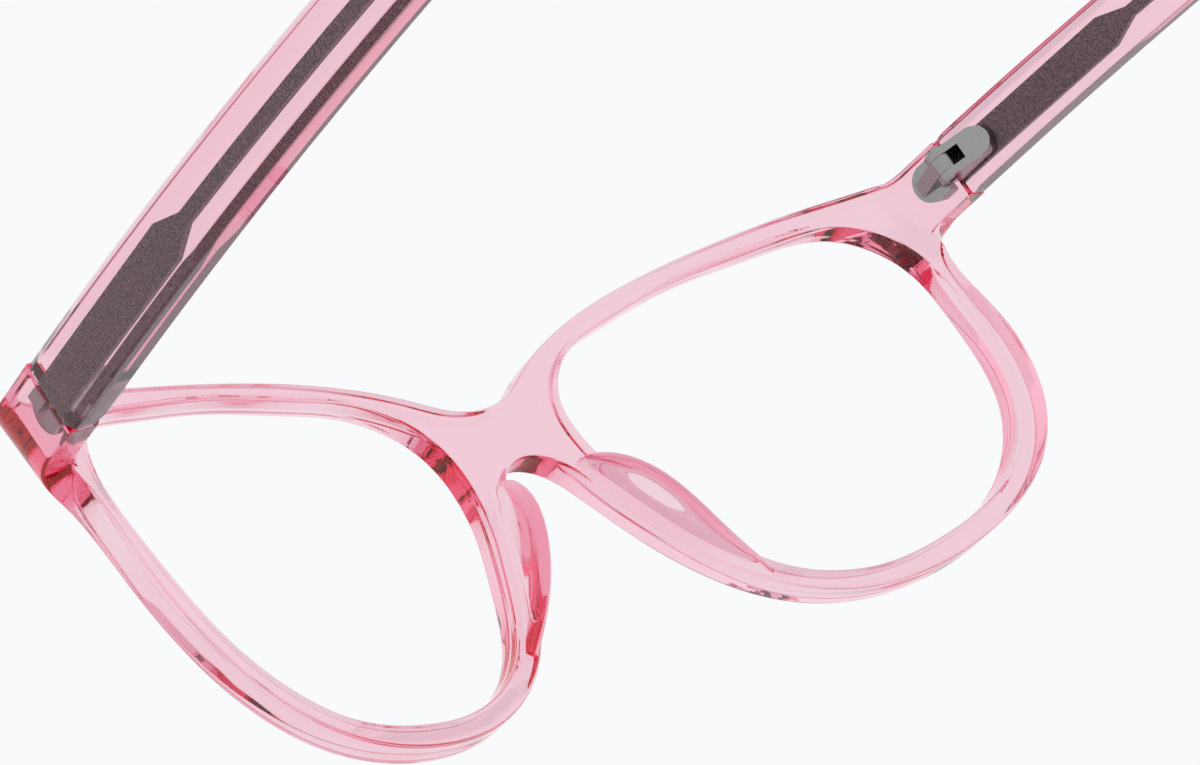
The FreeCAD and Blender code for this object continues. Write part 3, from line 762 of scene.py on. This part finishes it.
def lens_material():
    """Clear coated lens, almost without reflection."""
    made, tree, shader, _ = new_material("clear_lens")
    shader.inputs["Transmission Weight"].default_value = 1.0
    shader.inputs["IOR"].default_value = LENS_IOR
    haze = ramp(tree, noise(tree, scale=900.0, detail=3.0), 0.0, 0.012, start=0.5, end=0.9)
    tree.links.new(haze, shader.inputs["Roughness"])
    tone = ramp(tree, noise(tree, scale=40.0, detail=1.0), *LENS_TONES)
    tree.links.new(tone, shader.inputs["Base Color"])
    wave = bump(tree, noise(tree, scale=90.0, detail=0.0), distance=0.0001, strength=0.02)
    tree.links.new(wave, shader.inputs["Normal"])
    return made


def metal_material(name, tones, rough, grain, depth, spread):
    """Metal in two blotched tones, with a fine grain and broader dents.

    Grain is in features per metre, and spread is how softly one tone turns into the other."""
    made, tree, shader, _ = new_material(name)
    shader.inputs["Metallic"].default_value = 1.0
    blotch = noise(tree, scale=grain * 0.8, detail=2.0)
    tone = ramp(tree, blotch, *tones, start=0.5 - spread, end=0.5 + spread)
    tree.links.new(tone, shader.inputs["Base Color"])
    wear = ramp(tree, noise(tree, scale=grain * 1.7, detail=3.0), *rough)
    tree.links.new(wear, shader.inputs["Roughness"])
    fine = bump(tree, noise(tree, scale=grain, detail=5.0), distance=depth, strength=0.6)
    dents = noise(tree, scale=grain * 0.22, detail=2.0)
    broad = bump(tree, dents, distance=depth * 3, strength=0.35, below=fine)
    tree.links.new(broad, shader.inputs["Normal"])
    return made


def paper_material():
    """Pale matt paper."""
    made, tree, shader, _ = new_material("pale_paper")
    tone = ramp(tree, noise(tree, scale=400.0, detail=3.0), *PAPER_TONES)
    tree.links.new(tone, shader.inputs["Base Color"])
    shader.inputs["Roughness"].default_value = 0.9
    return made


acetate = acetate_material()
lens = lens_material()
hinge_metal = metal_material("hinge_metal", HINGE_TONES, rough=(0.18, 0.27),
                             grain=6500.0, depth=0.000004, spread=0.2)
core_metal = metal_material("core_metal", CORE_TONES, rough=(0.34, 0.50),
                            grain=6000.0, depth=0.0003, spread=0.10)


# ---------------------------------------------------------------- pieces

def coated(item, material):
    """Give the whole object one material."""
    item.data.materials.clear()
    item.data.materials.append(material)
    return item


front = as_object("front_acetate", front_mesh())
added = []
for side in (1, -1):
    added += [as_object("added_pad", pad_mesh(side)), as_object("added_web", web_mesh(side))]
    added.append(as_object("added_gusset", gusset_mesh(side)))
front = finished(joined(front, added))
coated(front, acetate)
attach(front, "front")
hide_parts("front_frame", "left_nose_pad", "right_nose_pad")

for name, side in (("left", 1), ("right", -1)):
    temple = finished(as_object(name + "_temple_acetate", temple_mesh(side)))
    coated(temple, acetate)
    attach(temple, name + "_arm")
    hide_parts(name + "_temple")

for name, side in (("left", 1), ("right", -1)):
    disc = finished(as_object(name + "_lens_disc", lens_mesh(side)))
    coated(disc, lens)
    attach(disc, "front")
    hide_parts(name + "_lens")

for name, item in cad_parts.items():
    skin = core_metal if name.endswith("core_wire") else hinge_metal
    if name.endswith(("core_wire", "leaf", "screw")):
        for place in item.material_slots:
            place.material = skin


# ---------------------------------------------------------------- stage, light and camera

def studio_light():
    """Even pale light from all around."""
    world = bpy.data.worlds.new("studio")
    world.use_nodes = True
    sky = world.node_tree.nodes["Background"]
    sky.inputs["Color"].default_value = SKY
    sky.inputs["Strength"].default_value = 1.0
    bpy.context.scene.world = world


def soft_light(name, place, power):
    """Large soft lamp that faces the middle of the glasses."""
    lamp = bpy.data.lights.new(name, "AREA")
    lamp.shape = "SQUARE"
    lamp.size = LAMP_SIZE
    lamp.energy = power
    item = bpy.data.objects.new(name, lamp)
    item.location = place
    item.rotation_euler = (Vector(LAMP_AIM) - Vector(place)).to_track_quat("-Z", "Y").to_euler()
    bpy.context.scene.collection.objects.link(item)


def paper_floor():
    """Wide sheet of pale paper below the glasses."""
    grid = bmesh.new()
    bmesh.ops.create_grid(grid, x_segments=8, y_segments=8, size=FLOOR_HALF)
    data = bpy.data.meshes.new("floor")
    grid.to_mesh(data)
    grid.free()
    item = bpy.data.objects.new("floor", data)
    item.location = (0, 0, FLOOR_HEIGHT)
    bpy.context.scene.collection.objects.link(item)
    return coated(item, paper_material())


def long_camera():
    """Camera with a long lens, behind the glasses, on the wearer's left and below them."""
    view = bpy.data.cameras.new("camera")
    view.lens = CAMERA_LENS
    view.sensor_width = 36.0
    view.clip_start = 0.01
    camera = bpy.data.objects.new("camera", view)
    camera.location = CAMERA_PLACE
    camera.rotation_euler = [math.radians(angle) for angle in CAMERA_TURN]
    bpy.context.scene.collection.objects.link(camera)
    bpy.context.scene.camera = camera


studio_light()
bpy.context.scene.view_settings.view_transform = "Standard"
bpy.context.scene.cycles.max_bounces = 40
bpy.context.scene.cycles.transmission_bounces = 40
bpy.context.scene.cycles.glossy_bounces = 24

floor = paper_floor()

soft_light("key", (0.5, 0.7, 0.9), 0.6)
soft_light("fill", (-0.7, 0.4, 0.7), 0.3)
long_camera()
